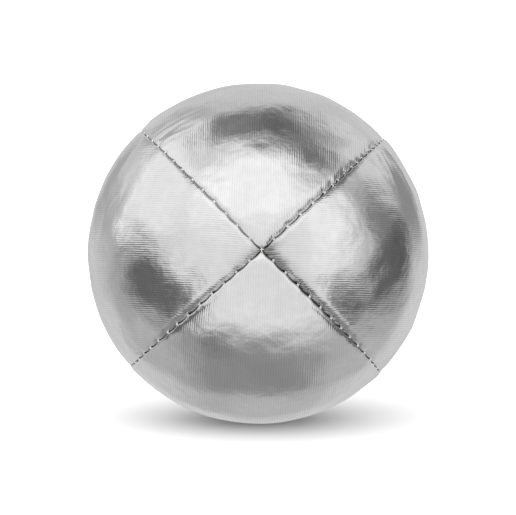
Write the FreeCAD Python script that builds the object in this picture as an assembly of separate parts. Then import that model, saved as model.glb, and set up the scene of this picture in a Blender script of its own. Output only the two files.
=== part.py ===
"""Four-panel juggling ball: a round bag of four lens-shaped panels, filled with millet.

Row frame: millimetres, +Z up, the origin at the centre of the flat that the ball rests on.
Each panel is two plies, a foil-faced cover and a plain lining, whose edges turn inwards as
seam allowances. The four seams run from the front pole to the rear pole. Three are sewn by
machine all the way; the fourth has a gap, through which the bag is filled, closed by hand.
"""
import FreeCAD, Part
import math
import os

from FreeCAD import Vector

# --- driving dimensions, in millimetres and degrees -------------------------------------------
ball_radius = 33.5
rest_flat_depth = 0.6          # how far the filled bag settles flat where it lies
rest_rim_radius = 14.0         # roundness of the flat's edge
cover_thickness = 0.45
lining_thickness = 0.30
lining_bend_radius = 0.35      # inside radius of the lining where it turns into the seam
seam_half_gap = 0.12           # the two turned edges stand this far from the seam's middle plane
stitch_set_back = 0.01         # from the end of the edge's bend to the needle holes
allowance_past_stitches = 4.0  # cloth left inside, past the needle holes
thread_radius = 0.15
thread_clearance = 0.01
thread_inner_bend = 0.10       # inside radius of a thread where it turns into a needle hole
ladder_hole_clearance = 0.03   # round the hand thread, which is still turning as it enters
stitch_pitch = 3.2
thread_tail = 0.8              # what is left past the last needle hole

filling_gap_start = 30.0       # degrees from the front pole, on the hand-closed seam
filling_gap_end = 78.0
ladder_pitch = 2.2             # between the rungs of the hand-sewn ladder stitch
ladder_knot_radius = 0.55
ladder_lead = 1.2              # from a knot to the rung beside it

tack_knot_radius = 0.38
tack_set_back = 0.3            # from the lining to the gathering stitch that joins the four tips
stitching_from_tack = 0.53     # from the gathering stitch to the end of a machine thread

grain_radius = 1.0             # millet: the fill can't fill a corner sharper than one grain

pole_lift = 9.0                # the seam axis points this far above the horizontal, to the front
pole_turn = 1.2                # and this far towards +X
seam_roll = -1.5               # turn of the seams about their own axis

panels = {"right": 0.0, "top": 90.0, "left": 180.0, "bottom": 270.0}
seams = {"upper_right": 45.0, "upper_left": 135.0, "lower_left": 225.0, "lower_right": 315.0}
hand_closed_seam = "upper_right"

# --- sizes that follow from them --------------------------------------------------------------
shell_thickness = cover_thickness + lining_thickness
edge_bend_radius = lining_bend_radius + shell_thickness   # outside radius of the cover's bend
bend_end_radius = math.sqrt((ball_radius - edge_bend_radius) ** 2
                            - (seam_half_gap + edge_bend_radius) ** 2)
turn_radius = thread_inner_bend + thread_radius
loop_radius = 2.0 * thread_radius + thread_clearance      # a needle loop round a bobbin thread
needle_hole_radius = loop_radius + thread_radius + thread_clearance
ladder_hole_radius = thread_radius + ladder_hole_clearance
stitch_radius = bend_end_radius - stitch_set_back - needle_hole_radius
core_radius = stitch_radius - allowance_past_stitches
lining_offset = seam_half_gap + shell_thickness           # the lining's inner face, off the plane
thread_offset = lining_offset + thread_radius             # thread lying on the lining
fill_offset = thread_offset + needle_hole_radius
tack_ring_radius = (lining_offset + fill_offset) / math.sqrt(2)   # between lining and fill
tack_depth = shell_thickness + thread_radius + tack_set_back
first_stitch_from_pole = tack_ring_radius + stitching_from_tack + thread_tail
half_panel = 45.0
big = 3.0 * ball_radius
same_place = 1e-4              # places nearer to each other than this are one

# The ball as it lies: seams are laid out about the Y axis, then the whole ball is turned.
lie = (FreeCAD.Rotation(Vector(0, 0, 1), pole_turn)
       .multiply(FreeCAD.Rotation(Vector(1, 0, 0), -pole_lift))
       .multiply(FreeCAD.Rotation(Vector(0, -1, 0), seam_roll)))
centre = Vector(0, 0, ball_radius - rest_flat_depth)
front = lie.multVec(Vector(0, -1, 0))


def outward(degrees):
    """Unit vector square to the seam axis, at this angle from +X, anticlockwise from the front."""
    a = math.radians(degrees)
    return lie.multVec(Vector(math.cos(a), 0, math.sin(a)))


def square_to(degrees):
    """Unit vector square to the half plane at this angle, pointing anticlockwise."""
    return outward(degrees + 90.0)


def on_seam(degrees, from_pole, radius, side=0.0):
    """Point on a seam: angle from the front pole, distance from the centre, step off the plane."""
    a = math.radians(from_pole)
    along = front * math.cos(a) + outward(degrees) * math.sin(a)
    return centre + along * radius + square_to(degrees) * side


def slab(point, normal, thickness):
    """A wide flat block that stands on a plane, on the normal's side."""
    block = Part.makeBox(2 * big, 2 * big, thickness, Vector(-big, -big, 0))
    block.Placement = FreeCAD.Placement(point, FreeCAD.Rotation(Vector(0, 0, 1), normal))
    return block


def circles(shape):
    """The shape's round edges, leaving out the points where a sphere's own grid closes."""
    return [e for e in shape.Edges if not e.Degenerated and isinstance(e.Curve, Part.Circle)]


# --- cloth ------------------------------------------------------------------------------------
def ball(radius, up, away):
    """A sphere at the centre whose own grid closes along up and down, with its seam at away."""
    body = Part.makeSphere(radius)
    body.Placement = FreeCAD.Placement(centre, FreeCAD.Rotation(away, up.cross(away), up, "ZXY"))
    return body


def pillow(degrees, inset, seam_offset=None, edge_radius=None):
    """What one panel encloses, taken in by inset: a quarter ball with rounded seam edges."""
    seam_offset = seam_half_gap + inset if seam_offset is None else seam_offset
    edge_radius = edge_bend_radius - inset if edge_radius is None else edge_radius
    body = ball(ball_radius - inset, square_to(degrees), outward(degrees) * -1)
    for edge_angle, sense in ((degrees - half_panel, 1), (degrees + half_panel, -1)):
        inwards = square_to(edge_angle) * sense
        body = body.common(slab(centre + inwards * seam_offset, inwards, big))
    body = body.makeFillet(edge_radius, circles(body))
    lowest = Vector(0, 0, inset)
    if body.BoundBox.ZMin < lowest.z - same_place:
        body = body.common(slab(lowest, Vector(0, 0, 1), big))
        rest_edges = [e for e in circles(body) if e.BoundBox.ZMax < lowest.z + same_place]
        body = body.makeFillet(rest_rim_radius - inset, rest_edges)
    return body.Solids[0]


def needle_angles(name):
    """Angles from the front pole of the lockstitch needle holes, in one or two stretches."""
    first = math.degrees(first_stitch_from_pole / stitch_radius)
    last = 180.0 - first
    if name != hand_closed_seam:
        stretches = [(first, last)]
    else:
        stretches = [(first, filling_gap_start), (filling_gap_end, last)]
    wanted_step = math.degrees(stitch_pitch / stitch_radius)
    found = []
    for low, high in stretches:
        count = max(1, round((high - low) / wanted_step))
        found.append([low + (high - low) * i / count for i in range(count + 1)])
    return found


def knot_angles():
    """Angles from the front pole of the hand thread's two knots, clear of the machine threads."""
    set_in = math.degrees((thread_tail + thread_clearance + ladder_knot_radius) / stitch_radius)
    return filling_gap_start + set_in, filling_gap_end - set_in


def ladder_angles():
    """Angles from the front pole of the hand-sewn rungs that close the filling gap."""
    lead = math.degrees(ladder_lead / stitch_radius)
    first, last = knot_angles()[0] + lead, knot_angles()[1] - lead
    count = max(1, round((last - first) / math.degrees(ladder_pitch / stitch_radius)))
    return [first + (last - first) * i / count for i in range(count + 1)]


def needle_holes(name, degrees):
    """Drills for one seam: round holes through both turned edges."""
    normal = square_to(degrees)
    reach = thread_offset + thread_radius
    drills = [Part.makeCylinder(needle_hole_radius, 2 * reach,
                                on_seam(degrees, a, stitch_radius, -reach), normal)
              for stretch in needle_angles(name) for a in stretch]
    if name == hand_closed_seam:
        drills += [Part.makeCylinder(ladder_hole_radius, 2 * reach,
                                     on_seam(degrees, a, stitch_radius, -reach), normal)
                   for a in ladder_angles()]
    return drills


def tack_ring(pole, grow=0.0):
    """The gathering stitch round one pole, pole being +1 at the front and -1 at the rear."""
    axis = front * pole
    middle = centre + axis * (ball_radius - tack_depth)
    return Part.makeTorus(tack_ring_radius, thread_radius + grow, middle, axis)


def tack_knot(pole, grow=0.0):
    """The knot of the gathering stitch, in the bottom panel's tip, clear of both its edges."""
    depth = shell_thickness + tack_knot_radius + tack_set_back
    off_axis = math.sqrt(2) * (lining_offset + tack_knot_radius + 2 * thread_clearance)
    place = centre + front * pole * (ball_radius - depth) + outward(panels["bottom"]) * off_axis
    return Part.makeSphere(tack_knot_radius + grow, place)


# --- thread -----------------------------------------------------------------------------------
def rounded_path(points, radii):
    """Straight runs through the points, joined at each inner point by a tangent arc."""
    edges = []
    here = points[0]
    for before, corner, after, radius in zip(points, points[1:], points[2:], radii):
        into = (corner - before).normalize()
        out = (after - corner).normalize()
        turn = into.getAngle(out)
        reach = radius * math.tan(turn / 2)
        start, end = corner - into * reach, corner + out * reach
        inwards = (out - into).normalize()
        middle = corner + inwards * (radius / math.cos(turn / 2) - radius)
        if (start - here).Length > same_place:
            edges.append(Part.LineSegment(here, start).toShape())
        edges.append(Part.Arc(start, middle, end).toShape())
        here = end
    edges.append(Part.LineSegment(here, points[-1]).toShape())
    return Part.Wire(edges)


def tube(path, radius):
    """A round thread along a path of runs and arcs."""
    start = path.Edges[0]
    heading = start.tangentAt(start.FirstParameter)
    ring = Part.Wire([Part.makeCircle(radius, start.valueAt(start.FirstParameter), heading)])
    thread = path.makePipeShell([ring], True, False)
    expected = math.pi * radius ** 2 * path.Length
    if abs(thread.Volume / expected - 1) > 0.01:
        raise ValueError(f"thread volume {thread.Volume:.4f} is not {expected:.4f}")
    return thread


def needle_thread(degrees, angles):
    """One stretch of lockstitch: runs on one side, loops through the holes round the bobbin."""
    tail = math.degrees(thread_tail / stitch_radius)
    inner, outer = stitch_radius - loop_radius, stitch_radius + loop_radius
    far_side = -(thread_offset + loop_radius)
    points = [on_seam(degrees, angles[0] - tail, inner, thread_offset)]
    radii = []
    for a in angles:
        points += [on_seam(degrees, a, inner, thread_offset),
                   on_seam(degrees, a, inner, far_side),
                   on_seam(degrees, a, outer, far_side),
                   on_seam(degrees, a, outer, thread_offset)]
        radii += [turn_radius, loop_radius, loop_radius, turn_radius]
    points.append(on_seam(degrees, angles[-1] + tail, outer, thread_offset))
    return tube(rounded_path(points, radii), thread_radius)


def bobbin_thread(degrees, angles):
    """The thread that the needle loops hold: it follows the seam on the other side."""
    tail = math.degrees(thread_tail / stitch_radius)
    first, last = angles[0] - tail, angles[-1] + tail
    arc = Part.Arc(*[on_seam(degrees, a, stitch_radius, -thread_offset)
                     for a in (first, (first + last) / 2, last)])
    return tube(Part.Wire([arc.toShape()]), thread_radius)


def ladder_knots():
    """Centres of the hand thread's two knots, inside the bag beside the first and last rung."""
    degrees = seams[hand_closed_seam]
    first, last = knot_angles()
    off = lining_offset + ladder_knot_radius + 2 * thread_clearance
    end_side = -1 if len(ladder_angles()) % 2 else 1
    return [on_seam(degrees, first, stitch_radius, off),
            on_seam(degrees, last, stitch_radius, off * end_side)]


def ladder_thread():
    """The hand-sewn closing: rungs across the seam, runs inside the fold on alternate sides."""
    degrees = seams[hand_closed_seam]
    side = thread_offset
    points = [ladder_knots()[0]]
    for a in ladder_angles():
        points += [on_seam(degrees, a, stitch_radius, side),
                   on_seam(degrees, a, stitch_radius, -side)]
        side = -side
    points.append(ladder_knots()[1])
    thread = tube(rounded_path(points, [turn_radius] * (len(points) - 2)), thread_radius)
    for knot in ladder_knots():
        thread = thread.fuse(Part.makeSphere(ladder_knot_radius, knot))
    return thread.removeSplitter()


def knot_hollows():
    """Room that the knots take in the millet."""
    hollows = [tack_knot(pole, thread_clearance) for pole in (1, -1)]
    hollows += [Part.makeSphere(ladder_knot_radius + thread_clearance, p) for p in ladder_knots()]
    return Part.makeCompound(hollows)


# --- build ------------------------------------------------------------------------------------
def one_solid(name, shape):
    if len(shape.Solids) != 1:
        raise ValueError(f"{name} came out as {len(shape.Solids)} solids")
    return shape.Solids[0]


def build():
    nodes = {}
    core = ball(core_radius, front, outward(panels["right"]))
    drills = {name: needle_holes(name, degrees) for name, degrees in seams.items()}
    tacks = [tack_ring(pole, thread_clearance) for pole in (1, -1)]
    fill = core
    for name, degrees in panels.items():
        outside, middle, inside = (pillow(degrees, inset)
                                   for inset in (0.0, cover_thickness, shell_thickness))
        holes = list(tacks)
        for seam, seam_degrees in seams.items():
            if outward(seam_degrees).dot(outward(degrees)) > 0:   # the panel's own two seams
                holes += drills[seam]
        holes = Part.makeCompound(holes)
        cover = outside.cut(middle).cut(core).cut(holes)
        lining = middle.cut(inside).cut(core).cut(holes)
        nodes[f"cover_panel_{name}"] = one_solid(name, cover)
        nodes[f"lining_panel_{name}"] = one_solid(name, lining)
        fill = fill.fuse(pillow(degrees, shell_thickness, fill_offset, grain_radius))
    nodes["millet_fill"] = one_solid("fill", fill.cut(knot_hollows()))
    for name, degrees in seams.items():
        stretches = needle_angles(name)
        nodes[f"needle_thread_{name}"] = Part.makeCompound(
            [needle_thread(degrees, angles) for angles in stretches])
        nodes[f"bobbin_thread_{name}"] = Part.makeCompound(
            [bobbin_thread(degrees, angles) for angles in stretches])
    nodes["closing_thread"] = ladder_thread()
    for pole, name in ((1, "front"), (-1, "rear")):
        nodes[f"{name}_pole_tack"] = tack_ring(pole).fuse(tack_knot(pole)).removeSplitter()
    return nodes


def main():
    os.makedirs("parts", exist_ok=True)
    for name, shape in build().items():
        for solid in shape.Solids:
            if not solid.isValid() or solid.Volume <= 0:
                raise ValueError(f"{name} is not a sound solid")
        shape.exportStep(f"parts/{name}.step")
        print(f"{name}: {len(shape.Solids)} solid(s), {shape.Volume:.2f} mm3")


if __name__ == "__main__":
    main()
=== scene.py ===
import math

import bpy
import numpy as np
from mathutils import Matrix, Vector, noise


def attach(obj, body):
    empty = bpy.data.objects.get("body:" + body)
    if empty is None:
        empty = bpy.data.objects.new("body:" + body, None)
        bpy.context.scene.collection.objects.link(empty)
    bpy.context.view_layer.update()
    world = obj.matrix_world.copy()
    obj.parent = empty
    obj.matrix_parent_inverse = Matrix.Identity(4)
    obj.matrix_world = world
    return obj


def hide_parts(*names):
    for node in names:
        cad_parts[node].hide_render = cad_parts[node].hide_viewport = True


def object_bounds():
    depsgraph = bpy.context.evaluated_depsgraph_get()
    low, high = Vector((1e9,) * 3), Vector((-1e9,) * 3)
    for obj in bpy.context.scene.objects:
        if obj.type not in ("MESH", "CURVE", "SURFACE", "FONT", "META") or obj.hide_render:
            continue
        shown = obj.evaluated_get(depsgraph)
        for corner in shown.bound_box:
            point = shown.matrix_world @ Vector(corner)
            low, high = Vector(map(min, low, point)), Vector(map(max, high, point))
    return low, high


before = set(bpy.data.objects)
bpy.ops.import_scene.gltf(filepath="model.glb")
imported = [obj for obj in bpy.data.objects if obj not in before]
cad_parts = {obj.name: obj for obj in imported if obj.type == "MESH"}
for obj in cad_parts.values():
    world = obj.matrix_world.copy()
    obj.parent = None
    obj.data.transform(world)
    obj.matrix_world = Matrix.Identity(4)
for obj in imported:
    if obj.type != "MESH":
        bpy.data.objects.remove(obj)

cadLow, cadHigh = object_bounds()
mm = 0.001

# how the ball lies, in degrees; lengths in this script are millimetres until a mesh is filled
ball = {
    "radius": (cadHigh.x - cadLow.x) / 2 / mm,
    "poleLift": 9.0,
    "poleTurn": 1.2,
    "seamRoll": -1.5,
    "panels": {"right": 0.0, "top": 90.0, "left": 180.0, "bottom": 270.0},
    "seams": {"upper_right": 45.0, "upper_left": 135.0, "lower_left": 225.0, "lower_right": 315.0},
    "halfPanel": 45.0,
}
ball["centre"] = np.array((0.0, 0.0, cadHigh.z / mm - ball["radius"]))
ball["halfRound"] = math.pi * ball["radius"]   # from pole to pole along a seam
layDown = np.array(Matrix.Rotation(math.radians(ball["poleTurn"]), 3, "Z")
                   @ Matrix.Rotation(math.radians(-ball["poleLift"]), 3, "X")
                   @ Matrix.Rotation(math.radians(ball["seamRoll"]), 3, Vector((0, -1, 0))))
front = layDown @ np.array((0.0, -1.0, 0.0))


def outward(degrees):  # square to the seam axis, anticlockwise as seen from the front
    a = math.radians(degrees)
    return layDown @ np.array((math.cos(a), 0.0, math.sin(a)))


def squareTo(degrees):  # a quarter turn further on
    return outward(degrees + 90)


def smooth(x):
    x = np.clip(x, 0, 1)
    return x * x * (3 - 2 * x)


def ramp(distance, run):  # 0 up to where the run starts, 1 after its length
    start, length = run
    return smooth((distance - start) / length)


def deselectAll():
    if bpy.context.mode != "OBJECT":
        bpy.ops.object.mode_set(mode="OBJECT")
    bpy.ops.object.select_all(action="DESELECT")


def applyAll(piece):
    deselectAll()
    bpy.context.view_layer.objects.active = piece
    piece.select_set(True)
    for modifier in list(piece.modifiers):
        bpy.ops.object.modifier_apply(modifier=modifier.name)
    piece.select_set(False)


# shader sums
class Wire:  # one output socket of a node, which can be used in sums
    def __init__(self, tree, socket=None):
        self.tree = tree
        self.socket = socket

    def node(self, kind, settings=None, feeds=None, out=0):
        made = self.tree.nodes.new(kind)
        for name, value in (settings or {}).items():
            setattr(made, name, value)
        for key, value in (feeds or {}).items():
            if isinstance(value, Wire):
                self.tree.links.new(value.socket, made.inputs[key])
            else:
                made.inputs[key].default_value = value
        return Wire(self.tree, made.outputs[out] if len(made.outputs) else None)

    def maths(self, operation, *values):
        return self.node("ShaderNodeMath", {"operation": operation}, dict(enumerate(values)))

    def __add__(self, other):
        return self.maths("ADD", self, other)

    __radd__ = __add__

    def __sub__(self, other):
        return self.maths("SUBTRACT", self, other)

    def __rsub__(self, other):
        return self.maths("SUBTRACT", other, self)

    def __mul__(self, other):
        return self.maths("MULTIPLY", self, other)

    __rmul__ = __mul__

    def __pow__(self, other):
        return self.maths("POWER", self, other)

    def clamped(self, low=0.0, high=1.0):
        return self.node("ShaderNodeClamp", {}, {"Value": self, "Min": low, "Max": high})

    def eased(self, low, high):  # 0 below low, 1 above high
        return self.node("ShaderNodeMapRange", {"interpolation_type": "SMOOTHSTEP"},
                         {"Value": self, "From Min": low, "From Max": high})

    def tint(self, colourA, colourB):  # colourA where this is 0, colourB where it is 1
        return self.node("ShaderNodeMix", {"data_type": "RGBA"},
                         {0: self, 6: colourA, 7: colourB}, out=2)


def grey(level, warm=0.0):
    return (level * (1 + warm), level, level * (1 - warm), 1)


def newMaterial(name):
    material = bpy.data.materials.new(name)
    material.use_nodes = True
    tree = material.node_tree
    tree.nodes.clear()
    return material, Wire(tree)


def finishMaterial(start, feeds):
    shader = start.node("ShaderNodeBsdfPrincipled", {}, feeds)
    start.node("ShaderNodeOutputMaterial", {}, {"Surface": shader})


# stitches: where each seam is held, in mm from the front pole along the ball's surface
stitching = {
    "first": 3.15,
    "pitch": 3.36,          # 3.2 mm at the depth of the needle holes
    "gapStart": 30.0,       # degrees, the stretch of the upper right seam that is closed by hand
    "gapEnd": 78.0,
    "handPitch": 2.3,
    "jitter": 0.10,
    "handJitter": 0.28,
    "pinchReach": 0.62,     # how far along the seam one stitch pulls
    "seed": 11,
}
handSeam = "upper_right"


def stitchMarks(name, draws):
    length = ball["halfRound"]
    first, last = stitching["first"], length - stitching["first"]
    if name != handSeam:
        stretches = [(first, last, stitching["pitch"], stitching["jitter"])]
    else:
        start, end = (length * stitching[key] / 180 for key in ("gapStart", "gapEnd"))
        stretches = [(first, start, stitching["pitch"], stitching["jitter"]),
                     (start + stitching["handPitch"], end - stitching["handPitch"],
                      stitching["handPitch"], stitching["handJitter"]),
                     (end, last, stitching["pitch"], stitching["jitter"])]
    marks = []
    for low, high, pitch, jitter in stretches:
        count = max(1, round((high - low) / pitch))
        even = np.linspace(low, high, count + 1)
        marks += list(even + draws.uniform(-jitter, jitter, len(even)))
    return np.array(marks)


marks = {name: stitchMarks(name, np.random.default_rng(stitching["seed"] + k))
         for k, name in enumerate(ball["seams"])}
tableStep = 0.05
along = np.arange(0, ball["halfRound"], tableStep)     # every place that the tables of a seam give


def seamTables(name):  # how hard the seam is pulled, and how far it swells, at each place along it
    pull = np.zeros_like(along)
    for mark in marks[name]:
        pull = np.maximum(pull, np.exp(-((along - mark) / stitching["pinchReach"]) ** 2))
    edges = np.concatenate(([0], marks[name], [ball["halfRound"]]))
    swell = np.abs(np.sin(np.pi * np.interp(along, edges, np.arange(len(edges)))))
    return pull, swell


pulls = {name: seamTables(name) for name in ball["seams"]}

# cover panels
cover = {
    "thickness": 0.34,
    "bend": 0.40,           # outside radius where the cloth turns into the seam, on the upper panel
    "lowerBend": 0.30,
    "tightBend": 0.24,      # the same at the poles
    "gap": 0.020,           # half the opening between two panels at a stitch
    "openGap": 0.040,       # and how much more between stitches
    "tipEase": 0.95,        # keeps the two bends of a panel apart where it narrows to a tip
    "allowanceEnd": 27.8,   # distance from the centre where the allowance ends
    "rows": 440,
    "flatColumns": 38,      # from a bend to the middle of the panel
    "crowding": 0.7,        # how much closer together they are beside the bend
    "bendColumns": 9,
    "allowanceColumns": 3,
    "patternLength": 118.0,
    "patternWidth": 68.0,
    "patternMargin": 0.03,  # keeps the tip of the panel inside the pattern
    "flat": (0.110, 0.064),    # metres and square metres, before sewing
    "flatArea": 0.0047,
}
lay = {                     # how the filled bag departs from a round ball
    "poleValley": 0.28,     # draw-in beside a seam at the poles
    "endValley": 0.04,      # and half way between them
    "poleRun": (0, 2.4),    # each run is where a change starts, in mm from a pole, and its length
    "reachRun": (1, 8),
    "valleyRun": (14, 26),
    "lowerPanel": 0.2,      # a panel whose roll is no deeper than this is the lower one at the seam
    "round": 0.16,          # and stays full up to it
    "roundReach": 2.8,
    "roundRun": (4, 8),
    "pinch": 0.11,          # draw-in at each stitch
    "pinchReach": 0.8,
    "pinchLost": 0.7,       # how much less at the end of the run
    "pinchRun": (30, 16),
    "swell": 0.24,          # sideways, between stitches
    "overhang": 0.14,       # sideways, all along
    "overhangRun": (0, 3),
    "swellReach": 1.3,
    "swellDepth": 1.2,
    "poleDimple": 0.20,
    "poleReach": 1.2,
    "dent": 0.16,           # of the grains under the cloth
    "dentLength": 5.2,
    "dentSeed": 40,
    "crease": 0.13,
    "creaseReach": 1.0,
    "creaseLengths": (0.50, 1.3),
    "creaseShare": 0.6,     # of the longer creases
    "creasePatch": 7.0,     # length of a stretch that is creased more or less
    "gatherReach": 3.2,
    "gatherPatch": 5.0,
    "gatherLost": 0.7,
    "gatherRun": (16, 18),
    "foldFade": 0.8,        # how much of a fold is gone at its far end
    "footEase": 0.12,       # roundness of the edge of the flat foot
    "footTop": 20,          # times footEase, above which the foot changes nothing
}
swellSide = {"upper_right": -1, "upper_left": 1, "lower_left": 1, "lower_right": -1}
# times the gaps
opening = {"upper_right": 0.9, "upper_left": 0.6, "lower_left": 0.8, "lower_right": 0.9}
# degrees off an even quarter
seamDrift = {"upper_right": -1.0, "upper_left": 0.0, "lower_left": -2.5, "lower_right": 2.3}
# the upper panel of each seam rolls over it, the lower one stays full up to it:
# depth, reach at the poles, reach elsewhere
rolls = {
    ("top", "upper_right"): (0.60, 0.70, 0.85), ("right", "upper_right"): (0.20, 0.60, 0.45),
    ("top", "upper_left"): (0.16, 0.60, 0.45), ("left", "upper_left"): (0.10, 0.60, 0.50),
    ("left", "lower_left"): (0.80, 1.00, 0.80), ("bottom", "lower_left"): (0.12, 0.60, 0.50),
    ("bottom", "lower_right"): (0.12, 0.60, 0.50), ("right", "lower_right"): (1.05, 1.90, 0.90),
}
creaseStrength = {
    ("top", "upper_right"): 0.8, ("right", "upper_right"): 0.15,
    ("top", "upper_left"): 0.06, ("left", "upper_left"): 0.20,
    ("left", "lower_left"): 1.0, ("bottom", "lower_left"): 0.08,
    ("bottom", "lower_right"): 0.06, ("right", "lower_right"): 1.3,
}


def seamsOf(panel):
    angle = ball["panels"][panel]
    return {name: seam for name, seam in ball["seams"].items()
            if outward(seam) @ outward(angle) > 0}


def wander(values, length, seed):  # a smooth random curve, about -1 to 1
    return np.array([noise.noise(Vector((v / length, seed * 7.31, 0.37))) for v in values]) * 1.6


def patchy(length, seed):  # 0.1 to 1.2 along a seam, for what comes and goes
    return np.clip(0.55 + 0.6 * wander(along, length, seed), 0.1, 1.2)


# soft folds where the cloth was gathered into a seam: the panel, then for both ends the degrees
# away from the front pole and anticlockwise, then half width and height
folds = [
    ("top", 64, 134, 62, 108, 1.0, 0.15),
    ("top", 84, 130, 83, 114, 1.2, 0.22),
    ("top", 57, 131, 55, 120, 0.5, 0.08),
    ("top", 60, 132, 60, 123, 0.5, -0.08),
    ("right", 65, 42, 60, 24, 1.0, 0.16),
    ("right", 54, 42, 61, 26, 0.8, -0.10),
    ("right", 72, 41, 74, 18, 1.3, 0.12),
    ("left", 70, 139, 68, 168, 1.6, 0.12),
    ("left", 60, 150, 57, 178, 1.8, -0.10),
]


def heading(away, clock):  # a direction, by its angle from the front pole and its place on the clock
    return math.cos(math.radians(away)) * front + math.sin(math.radians(away)) * outward(clock)


def folded(directions, panel):
    rise = np.zeros(len(directions))
    for owner, awayA, clockA, awayB, clockB, width, height in folds:
        if owner != panel:
            continue
        start, end = heading(awayA, clockA), heading(awayB, clockB)
        line = end - start
        share = (directions - start) @ line / (line @ line)
        nearest = start + np.outer(np.clip(share, 0, 1), line)
        nearest /= np.linalg.norm(nearest, axis=1)[:, None]
        off = np.linalg.norm(directions - nearest, axis=1) * ball["radius"]
        rise += height * np.exp(-(off / width) ** 2) * (1 - smooth(share) * lay["foldFade"])
    return rise


# the sewn bag is blown up as cloth, held along its seams, to find how the panels swell between them
blow = {
    "segments": 192,        # a multiple of 8, so that each seam falls on a row of edges
    "rings": 128,
    "scale": 0.05,          # metres for each mm: the cloth solver is steadier on a large bag
    "slackLeast": 0.001,    # how much longer the cloth is than the seams
    "slackMost": 0.009,
    "slackLength": 6.0,
    "heldSeam": 0.2,        # degrees to either side of a seam
    "heldPole": 0.10,       # share of the ball's radius
    "pressure": 5.0,
    "stiffness": 40.0,
    "bending": 0.1,
    "frames": 12,
    "cap": 0.30,            # most that the shape may rise or sink, in mm
}


def blownBag():
    deselectAll()
    bpy.ops.mesh.primitive_uv_sphere_add(segments=blow["segments"], ring_count=blow["rings"],
                                         radius=ball["radius"] * blow["scale"])
    bag = bpy.context.object
    spots = np.array([v.co for v in bag.data.vertices]) / blow["scale"]
    away = np.arccos(np.clip(spots[:, 2] / ball["radius"], -1, 1))     # the bag's z is the front pole
    clock = np.degrees(np.arctan2(spots[:, 1], spots[:, 0])) % 360
    offSeam = np.abs(clock % (2 * ball["halfPanel"]) - ball["halfPanel"])
    held = (offSeam < blow["heldSeam"]) | (np.sin(away) < blow["heldPole"])
    seamGroup, slackGroup = (bag.vertex_groups.new(name=name) for name in ("seams", "slack"))
    seamGroup.add([int(k) for k in np.nonzero(held)[0]], 1.0, "REPLACE")
    for k, spot in enumerate(spots):
        slack = 0.5 + noise.noise(Vector(spot / blow["slackLength"]))
        slackGroup.add([k], min(1, max(0, slack)), "REPLACE")
    cloth = bag.modifiers.new("blown", "CLOTH")
    cloth.settings.tension_stiffness = cloth.settings.compression_stiffness = blow["stiffness"]
    cloth.settings.bending_stiffness = blow["bending"]
    cloth.settings.vertex_group_mass = seamGroup.name
    cloth.settings.vertex_group_shrink = slackGroup.name
    cloth.settings.shrink_min = -blow["slackLeast"]
    cloth.settings.shrink_max = -blow["slackMost"]
    cloth.settings.use_pressure = True
    cloth.settings.uniform_pressure_force = blow["pressure"]
    cloth.settings.effector_weights.gravity = 0
    cloth.collision_settings.use_collision = False
    for frameNumber in range(1, blow["frames"] + 1):
        bpy.context.scene.frame_set(frameNumber)
    applyAll(bag)
    bpy.context.scene.frame_set(1)
    blown = np.array([v.co for v in bag.data.vertices])
    rise = np.linalg.norm(blown, axis=1) / blow["scale"] - ball["radius"]
    print("bag blown up, swells", round(rise[~held].mean(), 3), "mm, most", round(rise.max(), 3))
    row = np.round(away * blow["rings"] / math.pi).astype(int)
    column = np.round(clock * blow["segments"] / 360).astype(int) % blow["segments"]
    grid = np.zeros((blow["rings"] + 1, blow["segments"]))
    grid[row, column] = rise
    grid[0], grid[-1] = grid[1].mean(), grid[-2].mean()
    bpy.data.objects.remove(bag)
    return np.clip(grid - rise[~held].mean(), -blow["cap"], blow["cap"])


swellGrid = blownBag()


def splineWeights(share):
    return ((1 - share) ** 3 / 6, (3 * share ** 3 - 6 * share ** 2 + 4) / 6,
            (-3 * share ** 3 + 3 * share ** 2 + 3 * share + 1) / 6, share ** 3 / 6)


def swollen(directions):  # the blown bag's rise, read off smoothly
    row = np.arccos(np.clip(directions @ front, -1, 1)) * blow["rings"] / math.pi
    clock = np.degrees(np.arctan2(directions @ outward(90), directions @ outward(0)))
    column = (clock % 360) * blow["segments"] / 360
    rowBase, columnBase = np.floor(row).astype(int), np.floor(column).astype(int)
    rise = np.zeros(len(directions))
    for i, rowWeight in enumerate(splineWeights(row - rowBase)):
        rows = np.clip(rowBase + i - 1, 0, blow["rings"])
        for j, columnWeight in enumerate(splineWeights(column - columnBase)):
            rise += rowWeight * columnWeight * swellGrid[rows, (columnBase + j - 1) % blow["segments"]]
    return rise


def drifted(points):  # turned round the seam axis so that each seam strays as this ball's do
    drifts = np.array([seamDrift[name] for name in ball["seams"]])
    x, y = points @ outward(0), points @ outward(90)
    quarter = (np.degrees(np.arctan2(y, x)) - ball["halfPanel"]) / (2 * ball["halfPanel"])
    first = np.floor(quarter).astype(int)
    before, after = drifts[first % 4], drifts[(first + 1) % 4]
    turn = np.radians(before + (after - before) * smooth(quarter - first))
    newX = x * np.cos(turn) - y * np.sin(turn)
    newY = x * np.sin(turn) + y * np.cos(turn)
    return points + np.outer(newX - x, outward(0)) + np.outer(newY - y, outward(90))


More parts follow.
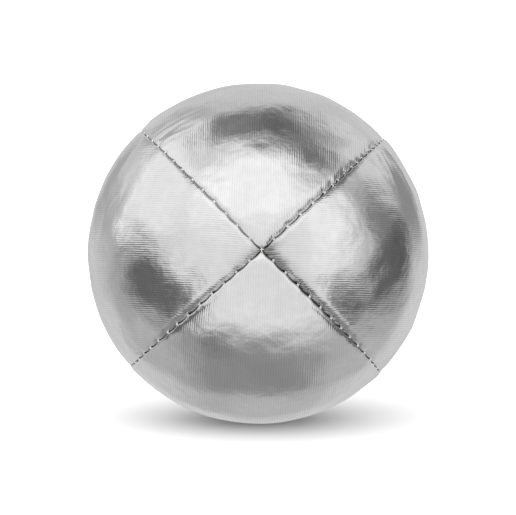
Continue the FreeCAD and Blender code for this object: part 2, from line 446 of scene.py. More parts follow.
def settled(points, panel, inset=0.0):  # the soft shape: drawn in at the seams, lumpy, flat where it lies
    radii = np.linalg.norm(points, axis=1)
    directions = points / radii[:, None]
    rise = swollen(directions) + folded(directions, panel)
    rib = ball["radius"] * np.arcsin(directions @ squareTo(ball["panels"][panel]))
    ribTable = np.arange(-30, 30, tableStep)
    for name, degrees in seamsOf(panel).items():
        beside = squareTo(degrees)
        off = points @ beside
        place = ball["radius"] * np.arctan2(points @ outward(degrees), points @ front)
        pull = np.interp(place, along, pulls[name][0])
        swell = np.interp(place, along, pulls[name][1])
        fromPole = np.minimum(place, ball["halfRound"] - place)
        depth, poleReach, wide = rolls[panel, name]
        reach = poleReach + (wide - poleReach) * ramp(fromPole, lay["reachRun"])
        valley = lay["endValley"] + (depth - lay["endValley"]) * (1 - ramp(fromPole, lay["valleyRun"]))
        valley = lay["poleValley"] + (valley - lay["poleValley"]) * ramp(fromPole, lay["poleRun"])
        rise -= valley * np.exp(-(off / reach) ** 2)
        if depth <= lay["lowerPanel"]:
            fullness = lay["round"] * np.exp(-(off / lay["roundReach"]) ** 2)
            rise += fullness * ramp(fromPole, lay["roundRun"])
        pinched = lay["pinch"] * pull * np.exp(-(off / lay["pinchReach"]) ** 2)
        rise -= pinched * (1 - lay["pinchLost"] * ramp(fromPole, lay["pinchRun"]))
        sideways = lay["swell"] * swell + lay["overhang"] * ramp(fromPole, lay["overhangRun"])
        sideways *= swellSide[name] * np.exp(-(off / lay["swellReach"]) ** 2)
        sideways *= np.exp((radii + inset - ball["radius"]) / lay["swellDepth"])
        points = points + beside * sideways[:, None]
        seed = ball["panels"][panel] + degrees
        short, long = lay["creaseLengths"]
        creases = wander(ribTable, short, seed) + lay["creaseShare"] * wander(ribTable, long, seed + 3)
        patches = np.interp(place, along, patchy(lay["creasePatch"], seed + 5))
        strength = creaseStrength[panel, name] * patches
        rise += (lay["crease"] * strength * np.interp(rib, ribTable, creases)
                 * np.exp(-np.abs(off) / lay["creaseReach"]))
    for pole in (front, -front):
        away = ball["radius"] * np.arccos(np.clip(directions @ pole, -1, 1))
        rise -= lay["poleDimple"] * np.exp(-(away / lay["poleReach"]) ** 2)
    spots = directions * ball["radius"] / lay["dentLength"] + lay["dentSeed"]
    rise += lay["dent"] * np.array([noise.noise(Vector(spot)) for spot in spots])
    points = drifted(points + directions * rise[:, None])
    height = points[:, 2] + ball["centre"][2] - inset
    ease, limit = lay["footEase"], 2 * lay["footTop"]
    eased = ease * np.log1p(np.exp(np.clip(height / ease, -limit, limit)))
    points[:, 2] = np.where(height > lay["footTop"] * ease, height, eased) + inset - ball["centre"][2]
    return points


def seamSides(panel, inset, sizes):  # for both edges of a panel, how it turns in at the seam
    radius = ball["radius"] - inset
    across = squareTo(ball["panels"][panel])
    reach = (sizes["tightBend"] + sizes["gap"] + sizes["openGap"]) / (sizes["tipEase"] * radius)
    angles = np.linspace(reach, math.pi - reach, sizes["rows"] + 1)
    sides = {}
    for name, seam in seamsOf(panel).items():
        sense = 1 if outward(seam) @ across > 0 else -1     # which edge of the panel it is
        inwards = squareTo(seam) * -sense
        place = ball["radius"] * angles
        gap = sizes["gap"] + sizes["openGap"] * np.interp(place, along, pulls[name][1])
        gap = gap * opening[name] + inset
        widest = sizes["bend" if rolls[panel, name][0] > lay["lowerPanel"] else "lowerBend"]
        bend = np.clip(sizes["tipEase"] * radius * np.sin(angles) - gap, sizes["tightBend"], widest)
        held = np.outer(np.cos(angles), front) + np.outer(np.sin(angles), outward(seam))
        lean = (gap + bend) / (radius - bend)
        bendCentre = held * (np.sqrt(1 - lean ** 2))[:, None] + inwards * lean[:, None]
        sides[sense] = (inwards, bend, held, lean, bendCentre)
    return sides


def turnedEdge(side, panel, radius, sizes):  # columns over the bend and down the allowance
    inwards, bend, held, lean, up = side
    middle, across = outward(ball["panels"][panel]), squareTo(ball["panels"][panel])
    centres = up * (radius - bend)[:, None]
    flatAlong = np.arctan2(up @ middle, up @ front) * radius
    flatAcross = np.arcsin(up @ across) * radius
    tangentAlong = np.cross(across, up)
    tangentAlong /= np.linalg.norm(tangentAlong, axis=1)[:, None]
    tangentAcross = np.cross(up, tangentAlong)
    stepAlong, stepAcross = -(tangentAlong @ inwards), -(tangentAcross @ inwards)
    size = np.hypot(stepAlong, stepAcross)
    stepAlong, stepAcross = stepAlong / size, stepAcross / size
    if (tangentAcross @ across).mean() < 0:
        stepAcross = -stepAcross
    turn = math.pi / 2 + np.arcsin(lean)
    sideways = -inwards - up * (-(up @ inwards))[:, None]
    sideways /= np.linalg.norm(sideways, axis=1)[:, None]
    columns = []
    for k in range(sizes["bendColumns"] + 1):
        t = turn * k / sizes["bendColumns"]
        place = centres + bend[:, None] * (up * np.cos(t)[:, None] + sideways * np.sin(t)[:, None])
        columns.append((place, flatAlong + stepAlong * bend * t, flatAcross + stepAcross * bend * t))
    base, last = columns[-1][0], bend * turn
    depth = (base * held).sum(1) - sizes["allowanceEnd"]
    for k in range(1, sizes["allowanceColumns"] + 1):
        down = depth * k / sizes["allowanceColumns"]
        columns.append((base - held * down[:, None], flatAlong + stepAlong * (last + down),
                        flatAcross + stepAcross * (last + down)))
    return columns


def panelGrid(panel, inset, sizes):  # rows from pole to pole, columns from one allowance to the other
    radius = ball["radius"] - inset
    middle, across = outward(ball["panels"][panel]), squareTo(ball["panels"][panel])
    sides = seamSides(panel, inset, sizes)
    left, right = (turnedEdge(sides[sense], panel, radius, sizes) for sense in (-1, 1))
    columns = left[::-1]
    upLeft, upRight = sides[-1][-1], sides[1][-1]
    spreadLeft = np.arctan2(upLeft @ across, upLeft @ middle)
    spreadRight = np.arctan2(upRight @ across, upRight @ middle)
    poleShare = upLeft @ front
    count = sizes["flatColumns"]
    steps = np.arange(count + 1) / count
    graded = (1 - sizes["crowding"]) * steps + sizes["crowding"] * steps ** 3
    shares = np.concatenate((graded / 2, 1 - graded[::-1][1:] / 2))[1:-1]
    for share in shares:
        spread = spreadLeft + (spreadRight - spreadLeft) * share
        pole = poleShare + (upRight @ front - poleShare) * share
        ring = np.sqrt(1 - pole ** 2)
        up = (np.outer(pole, front) + (ring * np.cos(spread))[:, None] * middle
              + (ring * np.sin(spread))[:, None] * across)
        columns.append((up * radius, np.arctan2(up @ middle, up @ front) * radius,
                        np.arcsin(up @ across) * radius))
    columns += right
    places = np.stack([c[0] for c in columns], axis=1)
    pattern = np.stack([np.stack([c[1], c[2]], axis=-1) for c in columns], axis=1)
    return places, pattern


def creasing(points, panel):  # how strongly the ribs are gathered up beside each seam; the foil's colour is also darkened here as painted shade
    strength = np.zeros(len(points))
    for name, degrees in seamsOf(panel).items():
        off = np.abs(points @ squareTo(degrees))
        place = ball["radius"] * np.arctan2(points @ outward(degrees), points @ front)
        patches = patchy(lay["gatherPatch"], ball["panels"][panel] + degrees + 9)
        reach = lay["gatherReach"] * (0.55 + 0.6 * np.interp(place, along, patches))
        fromPole = np.minimum(place, ball["halfRound"] - place)
        _, poleReach, wide = rolls[panel, name]
        reach = reach * (poleReach / wide) ** (1 - ramp(fromPole, lay["reachRun"]))
        fade = 1 - lay["gatherLost"] * ramp(fromPole, lay["gatherRun"])
        strength += creaseStrength[panel, name] * np.exp(-off / reach) * fade
    return strength


def clothPanel(name, panel, inset, thickness, sizes):
    places, pattern = panelGrid(panel, inset, sizes)
    rows, count = places.shape[:2]
    deselectAll()
    bpy.ops.mesh.primitive_grid_add(x_subdivisions=count - 1, y_subdivisions=rows - 1, size=1)
    piece = bpy.context.object
    piece.name = piece.data.name = name
    flat = settled(places.reshape(-1, 3), panel, inset)
    piece.data.vertices.foreach_set("co", ((flat + ball["centre"]) * mm).astype(np.float32).ravel())
    corners = np.zeros(len(piece.data.loops), np.int32)
    piece.data.loops.foreach_get("vertex_index", corners)
    stretch = pattern.reshape(-1, 2) / (sizes["patternLength"], sizes["patternWidth"])
    stretch = stretch + (sizes["patternMargin"], 0.5)
    piece.data.uv_layers[0].data.foreach_set("uv", stretch[corners].astype(np.float32).ravel())
    mark = piece.data.attributes.new("gathered", "FLOAT", "POINT")
    mark.data.foreach_set("value", creasing(places.reshape(-1, 3), panel).astype(np.float32))
    piece.data.update()
    middleFace = piece.data.polygons[len(piece.data.polygons) // 2 + count // 2]
    if np.array(middleFace.normal) @ (np.array(middleFace.center) / mm - ball["centre"]) < 0:
        piece.data.flip_normals()
    wall = piece.modifiers.new("cloth", "SOLIDIFY")
    wall.thickness = thickness * mm
    wall.offset = -1
    wall.use_quality_normals = True
    applyAll(piece)
    deselectAll()
    piece.select_set(True)
    bpy.context.view_layer.objects.active = piece
    bpy.ops.object.shade_smooth()
    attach(piece, "root")
    return piece


foilLook = {                # lengths in mm, noise scales per mm
    "ribPitch": 0.45,
    "ribDrift": 2.2,        # radians that the ribs stray
    "weftPitch": 0.30,
    "weftHeight": 0.06,
    "streakScale": (0.16, 2.4),    # along and across the ribs
    "ribLeast": 0.4,        # rib strength, where the streaks are weakest and strongest
    "ribMost": 1.2,
    "gatheredRibs": 1.2,    # and how much is added beside a seam
    "mottleScale": 0.55,
    "crinkleScale": 0.40,
    "crinkleHeight": 5.6,
    "bump": 0.012,
    "valleyShade": 0.12,
    "mottleShade": 0.15,
    # how dark the painted shade beside the seams is
    "paintedSeamShadeDepth": 0.85,
    "polish": 0.09,         # roughness of the clean foil
    "worn": 0.16,           # and how much more where it is mottled
}


def flatPattern(start, sizes):  # lengthways and crossways on the cloth, in mm
    pattern = start.node("ShaderNodeUVMap", {"uv_map": "UVMap"})
    lengthways = start.node("ShaderNodeSeparateXYZ", {}, {0: pattern}) * sizes["patternLength"]
    crossways = start.node("ShaderNodeSeparateXYZ", {}, {0: pattern}, out=1) * sizes["patternWidth"]
    return lengthways, crossways


def clothNoise(start, lengthways, crossways, scale, detail):
    place = start.node("ShaderNodeCombineXYZ", {}, {0: lengthways, 1: crossways})
    return start.node("ShaderNodeTexNoise", {"noise_dimensions": "2D"},
                      {"Vector": place, "Scale": scale, "Detail": detail})


def silverCloth():
    look = foilLook
    material, start = newMaterial("ribbed_silver_cloth")
    lengthways, crossways = flatPattern(start, cover)
    gathered = start.node("ShaderNodeAttribute", {"attribute_name": "gathered"}, {}, out=2)
    streakAlong, streakAcross = look["streakScale"]
    streaks = clothNoise(start, lengthways * streakAlong, crossways * streakAcross, 1.0, 2.0)
    mottle = clothNoise(start, lengthways, crossways, look["mottleScale"], 3.0)
    crinkle = clothNoise(start, lengthways, crossways, look["crinkleScale"], 2.0)
    phase = crossways * (2 * math.pi / look["ribPitch"]) + mottle * look["ribDrift"]
    rib = start.maths("SINE", phase) * 0.5 + 0.5
    weft = start.maths("SINE", lengthways * (2 * math.pi / look["weftPitch"])) * 0.5 + 0.5
    ribStrength = (streaks * 0.9 + 0.35).clamped(look["ribLeast"], look["ribMost"])
    ribStrength = ribStrength * (gathered * look["gatheredRibs"] + 1)
    height = rib * ribStrength + weft * look["weftHeight"] + crinkle * look["crinkleHeight"]
    bump = start.node("ShaderNodeBump", {},
                      {"Strength": 1.0, "Distance": look["bump"] * mm, "Height": height})
    dull = (1 - rib) * ribStrength.clamped(0, 2.5)         # the valleys between the ribs
    # painted shade: the colour is darkened in the gathered cloth beside the seams, mostly on the panel that
    # rolls over each seam, where shade falls
    paintedSeamShade = gathered ** 4.0 * (crinkle * 1.6 - 0.1).clamped(0.3, 1) * (0.6 + dull * 0.25)
    tone = dull * look["valleyShade"] + (mottle - 0.5) * look["mottleShade"] + paintedSeamShade * look["paintedSeamShadeDepth"]
    colour = tone.clamped().tint(grey(0.87), grey(0.24, 0.006))
    roughness = (mottle * look["worn"] + dull * 0.03 + look["polish"]).clamped(0.08, 0.6)
    finishMaterial(start, {"Base Color": colour, "Metallic": 1.0, "Roughness": roughness, "Normal": bump})
    return material


foil = silverCloth()
for panel in ball["panels"]:
    piece = clothPanel(f"cover_{panel}", panel, 0.0, cover["thickness"], cover)
    piece.data.materials.append(foil)
    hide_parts(f"cover_panel_{panel}")
    print("cover panel", panel, len(piece.data.polygons))

# lining panels
lining = dict(cover)
lining.update({
    "inset": 0.44,          # the outside of the lining lies this far under the outside of the cover
    "thickness": 0.28,
    "bend": 0.12,
    "lowerBend": 0.12,
    "tightBend": 0.10,
    "rows": 220,
    "flatColumns": 15,
    "bendColumns": 4,
    "allowanceColumns": 2,
    "threadsPerMm": 2.4,
})


def plainWeave():
    material, start = newMaterial("lining_cotton")
    lengthways, crossways = flatPattern(start, lining)
    uneven = clothNoise(start, lengthways, crossways, 0.9, 3.0)
    turns = math.pi * lining["threadsPerMm"]
    warp = start.maths("SINE", lengthways * turns + uneven * 2)
    weft = start.maths("SINE", crossways * turns + uneven * 2)
    over = warp * weft                                     # up where one thread passes over the other
    height = over * 0.5 + uneven * 0.6
    bump = start.node("ShaderNodeBump", {}, {"Strength": 1.0, "Distance": 0.05 * mm, "Height": height})
    shade = (over * 0.25 + uneven * 0.5).clamped()
    colour = shade.tint((0.66, 0.64, 0.59, 1), (0.86, 0.84, 0.80, 1))
    finishMaterial(start, {"Base Color": colour, "Roughness": 0.88, "Sheen Weight": 0.25, "Normal": bump})
    return material


cotton = plainWeave()
for panel in ball["panels"]:
    piece = clothPanel(f"lining_{panel}", panel, lining["inset"], lining["thickness"], lining)
    piece.data.materials.append(cotton)
    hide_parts(f"lining_panel_{panel}")
    print("lining panel", panel, len(piece.data.polygons))

# threads
thread = {
    "strand": 0.070,        # radius of each of the two strands
    "lay": 0.062,           # distance of a strand from the middle of the thread
    "twist": 0.75,          # length of one full turn
    "step": 0.10,
    "barDepth": 0.06,       # how deep a stitch crosses the seam, under the bent edges
    "barReach": 0.21,
    "runDepth": 1.55,       # the run inside the seam
    "runSide": 0.80,
    "bobbinSide": 0.66,
    "bobbinShare": 0.9,     # of the run's depth
    "loopHalf": 0.13,       # half the distance between the two strands that cross at a stitch
    "farBar": 0.9,          # they draw together on the far side, to these shares of it
    "farFoot": 0.4,
    "uneven": 0.06,         # how far a stitch strays along the seam
    "tail": 0.8,
    "seed": 50,
}
handStitch = {
    "barSide": 0.42,
    "barDepth": 0.30,
    "footSide": 0.62,
    "footDepth": 0.95,
    "slant": 0.25,
    "tailSide": 0.7,
    "tailDepth": 1.5,
    "endReach": 0.5,        # how far a mark may lie from the end of the stretch and still be on it
}
tackRoute = (               # across, up and depth at the point where the seams meet
    (-0.75, 0, 1.3), (-0.42, 0.05, 0.22), (0.40, 0.08, 0.22), (0.75, 0, 1.2),
    (0, -0.75, 1.2), (-0.06, -0.42, 0.16), (-0.05, 0.42, 0.16), (0, 0.75, 1.3),
)


def seamPlace(seam, place, beside, depth):
    a = place / ball["radius"]
    held = front * math.cos(a) + outward(ball["seams"][seam]) * math.sin(a)
    return held * (ball["radius"] - depth) + squareTo(ball["seams"][seam]) * beside


def cornersCut(route, times=3):  # a smooth line from the route's points
    for _ in range(times):
        ahead = route[1:] - route[:-1]
        cut = np.stack((route[:-1] + ahead * 0.25, route[:-1] + ahead * 0.75), axis=1).reshape(-1, 3)
        route = np.concatenate((route[:1], cut, route[-1:]))
    return route


def evenly(route, step):  # points at even distances, and how far along each is
    gone = np.concatenate(([0], np.cumsum(np.linalg.norm(np.diff(route, axis=0), axis=1))))
    places = np.linspace(0, gone[-1], max(4, int(gone[-1] / step)))
    return np.stack([np.interp(places, gone, route[:, k]) for k in range(3)], axis=1), places


def twistedThread(name, routes, size, material):
    curve = bpy.data.curves.new(name, "CURVE")
    curve.dimensions = "3D"
    curve.bevel_depth = size["strand"] * mm
    curve.bevel_resolution = 1
    curve.use_fill_caps = True
    for route in routes:
        line, gone = evenly(cornersCut(route), size["step"])
        ahead = np.gradient(line, axis=0)
        ahead /= np.linalg.norm(ahead, axis=1)[:, None]
        side = np.cross(ahead[0], (0.3, 0.5, 0.8))     # any way that the thread doesn't run
        sides = []
        for way in ahead:              # carried along without turning
            side = side - way * (side @ way)
            side = side / np.linalg.norm(side)
            sides.append(side)
        sides = np.array(sides)
        others = np.cross(ahead, sides)
        for start in (0, math.pi):
            turn = gone * 2 * math.pi / size["twist"] + start
            aside = sides * np.cos(turn)[:, None] + others * np.sin(turn)[:, None]
            strand = line + size["lay"] * aside
            spline = curve.splines.new("POLY")
            spline.points.add(len(strand) - 1)
            co = np.ones((len(strand), 4), np.float32)
            co[:, :3] = (strand + ball["centre"]) * mm
            spline.points.foreach_set("co", co.ravel())
    piece = bpy.data.objects.new(name, curve)
    bpy.context.scene.collection.objects.link(piece)
    deselectAll()
    bpy.context.view_layer.objects.active = piece
    piece.select_set(True)
    bpy.ops.object.convert(target="MESH")
    piece = bpy.context.object
    piece.data.name = name
    bpy.ops.object.mode_set(mode="EDIT")
    bpy.ops.mesh.select_all(action="SELECT")
    bpy.ops.mesh.remove_doubles(threshold=0.001 * mm)
    bpy.ops.mesh.normals_make_consistent(inside=False)
    bpy.ops.object.mode_set(mode="OBJECT")
    bpy.ops.object.shade_smooth()
    piece.data.materials.clear()
    piece.data.materials.append(material)
    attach(piece, "root")
    return piece


def spunThread(name, light, dark):
    material, start = newMaterial(name)
    place = start.node("ShaderNodeTexCoord", {}, out=3)
    fibres = start.node("ShaderNodeTexNoise", {}, {"Vector": place, "Scale": 9000.0, "Detail": 3.0})
    uneven = start.node("ShaderNodeTexNoise", {}, {"Vector": place, "Scale": 900.0, "Detail": 2.0})
    colour = (fibres * 0.5 + uneven * 0.5).eased(0.3, 0.7).tint(dark, light)
    bump = start.node("ShaderNodeBump", {}, {"Strength": 0.6, "Distance": 0.02 * mm, "Height": fibres})
    finishMaterial(start, {"Base Color": colour, "Roughness": 0.42, "Sheen Weight": 0.3, "Normal": bump})
    return material


machineSpun = spunThread("machine_thread", grey(0.72), grey(0.46))
handSpun = spunThread("hand_thread", grey(0.74), grey(0.46))

handStart, handEnd = (ball["halfRound"] * stitching[key] / 180 for key in ("gapStart", "gapEnd"))
byHand = (handStart + handStitch["endReach"], handEnd - handStitch["endReach"])
panelsBeside = {"upper_right": ("top", "right"), "upper_left": ("top", "left"),
                "lower_left": ("left", "bottom"), "lower_right": ("right", "bottom")}


def machineRoute(seam, places, draws):
    side = 1 if swellSide[seam] < 0 else -1        # the thread runs inside the upper panel
    reach, half = thread["barReach"], thread["loopHalf"]
    bar, foot = half * thread["farBar"], half * thread["farFoot"]
    run, runDepth, barDepth = thread["runSide"], thread["runDepth"], thread["barDepth"]
    loop = ((-half, run, runDepth), (-half, reach, barDepth), (-bar, -reach, barDepth),
            (-foot, -run, runDepth), (foot, -run, runDepth), (bar, -reach, barDepth),
            (half, reach, barDepth), (half, run, runDepth))
    route = [seamPlace(seam, places[0] - thread["tail"], side * run, runDepth)]
    for place in places:
        place += draws.uniform(-thread["uneven"], thread["uneven"])
        route += [seamPlace(seam, place + ahead, side * beside, depth) for ahead, beside, depth in loop]
    route.append(seamPlace(seam, places[-1] + thread["tail"], side * run, runDepth))
    return np.array(route)


def bobbinRoute(seam, places):  # through the loops, on the other side of the seam
    beside = thread["bobbinSide"] * (-1 if swellSide[seam] < 0 else 1)
    depth = thread["runDepth"] * thread["bobbinShare"]
    steps = np.linspace(places[0] - thread["tail"], places[-1] + thread["tail"], len(places) * 3)
    return np.array([seamPlace(seam, step, beside, depth) for step in steps])


def handRoute(seam, places):  # the ladder stitch, with every other bar the other way
    size = handStitch
    side = 1
    route = [seamPlace(seam, places[0] - thread["tail"], size["tailSide"], size["tailDepth"])]
    foot, bar = (size["footSide"], size["footDepth"]), (size["barSide"], size["barDepth"])
    for place in places:
        for beside, depth in (foot, bar, (-bar[0], bar[1]), (-foot[0], foot[1])):
            route.append(seamPlace(seam, place - beside * side * size["slant"], side * beside, depth))
        side = -side
    route.append(seamPlace(seam, places[-1] + thread["tail"], side * size["tailSide"], size["tailDepth"]))
    return np.array(route)


def poleRoute(pole):  # two passes of thread across the four tips of the panels
    return np.array([pole * (ball["radius"] - depth) + outward(0) * x + outward(90) * y
                     for x, y, depth in tackRoute])


def pulledIn(route, seam):  # moved as the cloth on both sides of the seam is
    return sum(settled(route, panel) for panel in panelsBeside[seam]) / 2


for k, seam in enumerate(ball["seams"]):
    draws = np.random.default_rng(thread["seed"] + k)
    stretches = [marks[seam]]
    if seam == handSeam:
        stretches = [marks[seam][marks[seam] < byHand[0]], marks[seam][marks[seam] > byHand[1]]]
    routes = [pulledIn(machineRoute(seam, places, draws), seam) for places in stretches]
    piece = twistedThread(f"stitches_{seam}", routes, thread, machineSpun)
    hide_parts(f"needle_thread_{seam}")
    print("stitches", seam, len(piece.data.polygons))
    routes = [pulledIn(bobbinRoute(seam, places), seam) for places in stretches]
    piece = twistedThread(f"bobbin_{seam}", routes, thread, machineSpun)
    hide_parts(f"bobbin_thread_{seam}")

handMarks = marks[handSeam][(marks[handSeam] > byHand[0]) & (marks[handSeam] < byHand[1])]
routes = [pulledIn(handRoute(handSeam, handMarks), handSeam)]
piece = twistedThread("hand_stitches", routes, thread, handSpun)
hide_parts("closing_thread")

for name, pole in (("front", front), ("rear", -front)):
    piece = twistedThread(f"{name}_tack", [settled(poleRoute(pole), "bottom")], thread, handSpun)
    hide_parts(f"{name}_pole_tack")
print("threads made")

# filling
millet = {
    "grain": 2.0,
    "ground": 0.80,                # what one grain takes up, in squares of its size
    "layers": (31.25, 29.4),       # distances of the grains' middles from the middle of the ball
    "scatter": 0.12,
    "smallest": 0.88,
    "largest": 1.02,
    "slimness": 0.9,
    "core": 27.6,
    "coreLumps": 0.012,
    "coreSplits": 5,
    "clearOfSeam": 2.2,
    "seed": 3,
}


def seedCoat():
    material, start = newMaterial("millet_grain")
    place = start.node("ShaderNodeTexCoord", {}, out=3)
    tone = start.node("ShaderNodeAttribute", {"attribute_name": "grainTone"}, {}, out=2)
    speckle = start.node("ShaderNodeTexNoise", {}, {"Vector": place, "Scale": 2500.0, "Detail": 3.0})
    shade = (tone * 0.8 + speckle * 0.3 - 0.05).clamped()
    colour = shade.tint((0.52, 0.30, 0.09, 1), (0.86, 0.66, 0.30, 1))
    bump = start.node("ShaderNodeBump", {}, {"Strength": 0.5, "Distance": 0.04 * mm, "Height": speckle})
    finishMaterial(start, {"Base Color": colour, "Roughness": speckle * 0.2 + 0.34, "Normal": bump})
    return material


def spiralPoints(count):
    k = np.arange(count) + 0.5
    z = 1 - 2 * k / count
    a = k * math.pi * (3 - math.sqrt(5))
    return np.stack((np.sqrt(1 - z * z) * np.cos(a), np.sqrt(1 - z * z) * np.sin(a), z), axis=1)


def nearestSeam(points):  # distance to it
    near = np.full(len(points), 1e9)
    for degrees in ball["seams"].values():
        off = np.abs(points @ squareTo(degrees))
        near = np.where(points @ outward(degrees) > 0, np.minimum(near, off), near)
    return near


def settledAll(points, inset=0.0):
    moved = points.copy()
    for panel, degrees in ball["panels"].items():
        ahead, aside = points @ outward(degrees), points @ squareTo(degrees)
        mine = ahead >= math.cos(math.radians(ball["halfPanel"])) * np.hypot(ahead, aside) - 1e-9
        moved[mine] = settled(points[mine], panel, inset)
    return moved


def grainMiddles(draws):
    middles = []
    for distance in millet["layers"]:
        count = int(4 * math.pi * distance ** 2 / (millet["ground"] * millet["grain"] ** 2))
        spots = spiralPoints(count) * distance
        spots += draws.uniform(-millet["scatter"], millet["scatter"], spots.shape)
        middles.append(settledAll(spots[nearestSeam(spots) > millet["clearOfSeam"]], millet["grain"]))
    return np.concatenate(middles)


def roundBody(splits, radius):  # a ball of triangles, and its corners and faces as arrays
    deselectAll()
    bpy.ops.mesh.primitive_ico_sphere_add(subdivisions=splits, radius=radius)
    body = bpy.context.object
    corners = np.array([v.co for v in body.data.vertices])
    return body, corners, np.array([p.vertices for p in body.data.polygons])


draws = np.random.default_rng(millet["seed"])
fill, grainShape, grainFaces = roundBody(1, 1)
middles = grainMiddles(draws)
sizes = millet["grain"] / 2 * draws.uniform(millet["smallest"], millet["largest"], (len(middles), 1, 1))
sizes = sizes * np.array((1, millet["slimness"], millet["slimness"]))
turned = np.linalg.qr(draws.normal(size=(len(middles), 3, 3)))[0]
turned *= np.sign(np.linalg.det(turned))[:, None, None]
grains = (grainShape[None] * sizes) @ turned + middles[:, None]
core, corePoints, coreFaces = roundBody(millet["coreSplits"], millet["core"])
lumps = np.array([noise.noise(Vector(p)) for p in corePoints])
corePoints = corePoints * (1 + millet["coreLumps"] * lumps)[:, None]
bpy.data.objects.remove(core)
firstCorners = np.arange(len(middles)) * len(grainShape)
faces = (grainFaces[None] + firstCorners[:, None, None]).reshape(-1, 3)
faces = np.concatenate((faces, coreFaces + len(middles) * len(grainShape)))
verts = np.concatenate((grains.reshape(-1, 3), corePoints))
mesh = bpy.data.meshes.new("millet")
mesh.from_pydata(((verts + ball["centre"]) * mm).tolist(), [], faces.tolist())
fill.name = "millet"
fill.data = mesh
tones = np.repeat(draws.uniform(0, 1, len(middles)), len(grainShape))
tones = np.concatenate((tones, 0.5 + lumps * 0.5))
mark = mesh.attributes.new("grainTone", "FLOAT", "POINT")
mark.data.foreach_set("value", tones.astype(np.float32))
mesh.update()
deselectAll()
bpy.context.view_layer.objects.active = fill
fill.select_set(True)
bpy.ops.object.shade_smooth()
fill.data.materials.append(seedCoat())
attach(fill, "root")
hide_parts("millet_fill")
print("millet", len(middles), "grains", len(faces), "faces")

# floor, light and camera
studio = {
    "elevation": 7.75,
    "lens": 350.0,
    "silhouette": 170.4 / 516,    # the ball's radius as a share of the picture's width
    "aimLower": 0.80,             # the middle of the picture is this far below the ball's
    "aimRight": 0.05,
    "frontLight": 0.46,           # how much lighter the camera's side of the room is
    "frontWithin": (48, 95),      # degrees off that side where this starts to fall, and where it ends
    "roomLight": 0.38,
    "blotchScale": 3.2,           # the walls are uneven
    "blotchDepth": 0.6,
    "backdrop": 1.05,             # what the camera sees behind the ball
    "floorSize": 60.0,
    "floorGrey": 0.80,
    "lampPower": 3.9,
    "lampSpread": 150.0,
}


def makeCamera():
    data = bpy.data.cameras.new("studioCamera")
    data.lens = studio["lens"]
    data.clip_start = 0.01
    camera = bpy.data.objects.new("studioCamera", data)
    bpy.context.scene.collection.objects.link(camera)
    half = math.atan(studio["silhouette"] * data.sensor_width / data.lens)
    distance = ball["radius"] / math.sin(half)
    e = math.radians(studio["elevation"])
    back = Vector((0, -math.cos(e), math.sin(e)))
    aim = Vector(ball["centre"]) - Vector((studio["aimRight"], 0, studio["aimLower"]))
    camera.location = (aim + back * distance) * mm
    camera.rotation_mode = "QUATERNION"
    camera.rotation_quaternion = (-back).to_track_quat("-Z", "Y")
    bpy.context.scene.camera = camera


def cardPlace(offAxis, clock):  # a direction, from its angle off the camera's side and its place on the clock
    e = math.radians(studio["elevation"])
    toCamera = np.array((0, -math.cos(e), math.sin(e)))
    right, up = np.array((1, 0, 0)), np.array((0, math.sin(e), math.cos(e)))
    a, c = math.radians(offAxis), math.radians(clock)
    return tuple(math.cos(a) * toCamera + math.sin(a) * (math.cos(c) * right + math.sin(c) * up))


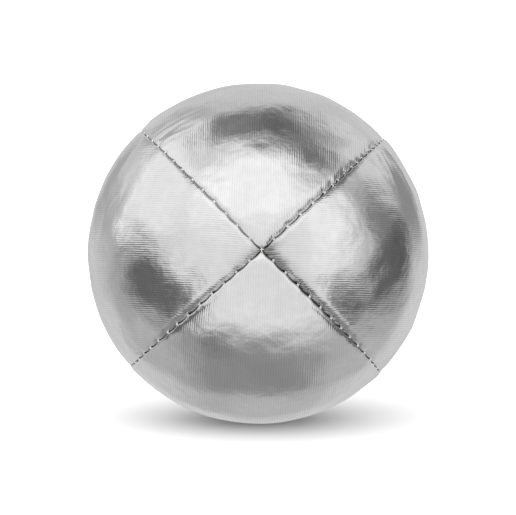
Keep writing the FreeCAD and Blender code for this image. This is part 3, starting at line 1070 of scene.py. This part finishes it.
# soft cards round the ball: degrees off the camera's side, degrees anticlockwise from the right,
# half width in degrees where it is full and where it ends, level
cards = [
    ("back wall", 180, 0, 36, 72, 0.64),
    ("upper left window", 86, 138, 22, 46, 0.93),
    ("above the camera", 46, 98, 12, 38, 1.08),
    ("window frame", 76, 119, 6, 15, 0.66),
    ("right of the camera", 52, 25, 8, 26, 0.98),
    ("upper right wall", 112, 46, 10, 30, 0.74),
    ("ceiling", 100, 84, 10, 24, 0.13),
    ("ceiling's right end", 80, 59, 8, 17, 0.15),
    ("ceiling's right corner", 104, 62, 4, 12, 0.34),
    ("ceiling's left end", 97, 103, 6, 17, 0.20),
    ("above the back", 130, 90, 6, 22, 0.62),
    ("floor", 91, 266, 20, 44, 0.28),
    ("floor's left corner", 72, 240, 4, 12, 0.19),
    ("floor behind", 130, 270, 10, 28, 0.50),
    ("lower right", 104, 314, 8, 24, 0.50),
    ("right", 107, 0, 9, 22, 0.10),
    ("right's middle", 96, 345, 7, 17, 0.12),
    ("right's upper end", 96, 16, 6, 16, 0.20),
    ("right rim", 134, 22, 7, 17, 0.28),
    ("left rim", 148, 152, 5, 13, 0.40),
    ("right's lower end", 76, 330, 7, 15, 0.12),
    ("right's inner end", 60, 331, 4, 12, 0.20),
    ("left's bright spot", 106, 167, 3, 10, 0.95),
    ("left's dark rim", 129, 166, 4, 12, 0.42),
    ("upper left rim", 128, 122, 5, 14, 0.42),
    ("lower left", 66, 206, 6, 18, 0.12),
    ("lower left's inner end", 58, 213, 5, 12, 0.15),
    ("lower left's outer end", 74, 214, 8, 14, 0.13),
    ("left", 86, 193, 8, 24, 0.13),
    ("left of the floor", 106, 221, 8, 24, 0.50),
]


def makeWorld():
    world = bpy.data.worlds.new("studio")
    bpy.context.scene.world = world
    world.use_nodes = True
    world.node_tree.nodes.clear()
    start = Wire(world.node_tree)
    direction = start.node("ShaderNodeTexCoord")

    def share(offAxis, clock, inner, outer):  # 1 on the card, 0 off it
        facing = start.node("ShaderNodeVectorMath", {"operation": "DOT_PRODUCT"},
                            {0: direction, 1: cardPlace(offAxis, clock)}, out=1)
        return facing.eased(math.cos(math.radians(outer)), math.cos(math.radians(inner)))

    level = share(0, 0, *studio["frontWithin"]) * studio["frontLight"] + studio["roomLight"]
    for _, offAxis, clock, inner, outer, strength in cards:
        level = level + share(offAxis, clock, inner, outer) * (strength - level)
    blotches = start.node("ShaderNodeTexNoise", {}, {"Vector": direction, "Scale": studio["blotchScale"],
                                                     "Detail": 3.0, "Roughness": 0.6})
    level = level * (blotches * studio["blotchDepth"] + (1 - studio["blotchDepth"] / 2))
    seen = start.node("ShaderNodeLightPath")               # 1 where the camera looks straight at it
    shown = level + seen * (studio["backdrop"] - level)
    background = start.node("ShaderNodeBackground", {}, {"Color": (1, 1, 1, 1), "Strength": shown})
    start.node("ShaderNodeOutputWorld", {}, {"Surface": background})


def makeFloor():
    deselectAll()
    bpy.ops.mesh.primitive_plane_add(size=studio["floorSize"])
    floor = bpy.context.object
    floor.name = "floor"
    floor.visible_glossy = False
    material, start = newMaterial("pale_floor")
    finishMaterial(start, {"Base Color": grey(studio["floorGrey"]), "Roughness": 1.0,
                           "Specular IOR Level": 0.0})
    floor.data.materials.append(material)


def makeLamp():
    data = bpy.data.lights.new("overheadSoftLight", "SUN")
    data.energy = studio["lampPower"]
    data.angle = math.radians(studio["lampSpread"])
    lamp = bpy.data.objects.new("overheadSoftLight", data)
    bpy.context.scene.collection.objects.link(lamp)
    lamp.visible_glossy = False


makeCamera()
makeWorld()
makeFloor()
makeLamp()
print("studio ready")
bpy.context.scene.view_settings.view_transform = "Standard"
